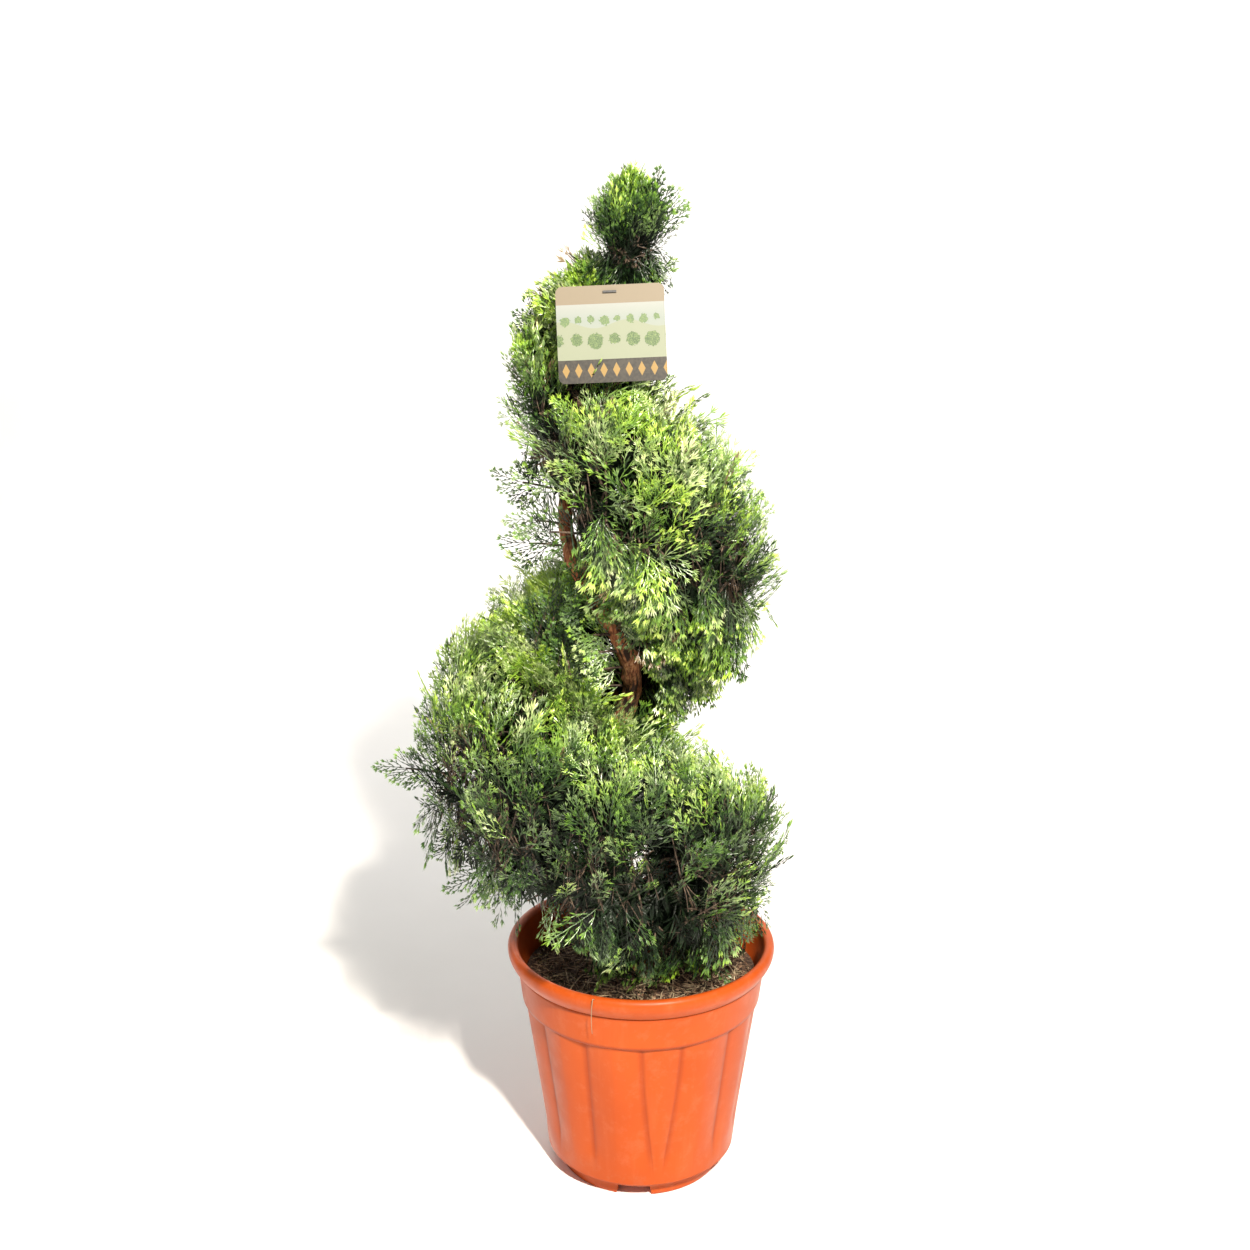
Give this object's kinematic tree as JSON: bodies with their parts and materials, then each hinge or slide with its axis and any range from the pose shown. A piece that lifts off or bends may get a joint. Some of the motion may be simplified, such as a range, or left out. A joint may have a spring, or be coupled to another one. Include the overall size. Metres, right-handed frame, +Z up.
{
  "type": "spiral topiary",
  "caption": "Clipped conifer trained as a spiral of foliage round a winding trunk, standing in a ribbed round plastic pot with a label hung at the top.",
  "frame": {"origin": "centre of the pot's flat underside, on the ground", "axes": "+Z up along the pot's axis, -Y towards the side that the label faces, +X to the right as seen from that side"},
  "size_m": [0.4817, 0.4153, 1.1896],
  "materials": {
    "pot": "moulded orange-brown plastic, satin, faintly scuffed",
    "soil": "dark moist potting compost with dry needles and twigs",
    "bark": "red-brown bark that peels in thin upright strips",
    "foliage": "flat sprays of green scale leaves with bright yellow-green tips",
    "label_card": "thin printed plastic card with a plain landscape design",
    "label_tie": "black plastic tie"
  },
  "bodies": {
    "root": {"pot": "pot", "soil": "soil", "trunk": "bark", "foliage_01": "foliage", "foliage_02": "foliage", "bough_03": "bark", "foliage_03": "foliage", "bough_04": "bark", "foliage_04": "foliage", "foliage_05": "foliage", "foliage_06": "foliage", "foliage_07": "foliage", "bough_08": "bark", "foliage_08": "foliage", "bough_09": "bark", "foliage_09": "foliage", "bough_10": "bark", "foliage_10": "foliage", "bough_11": "bark", "foliage_11": "foliage", "bough_12": "bark", "foliage_12": "foliage", "foliage_top": "foliage", "label_card": "label_card", "label_tie": "label_tie"}
  },
  "joints": []
}
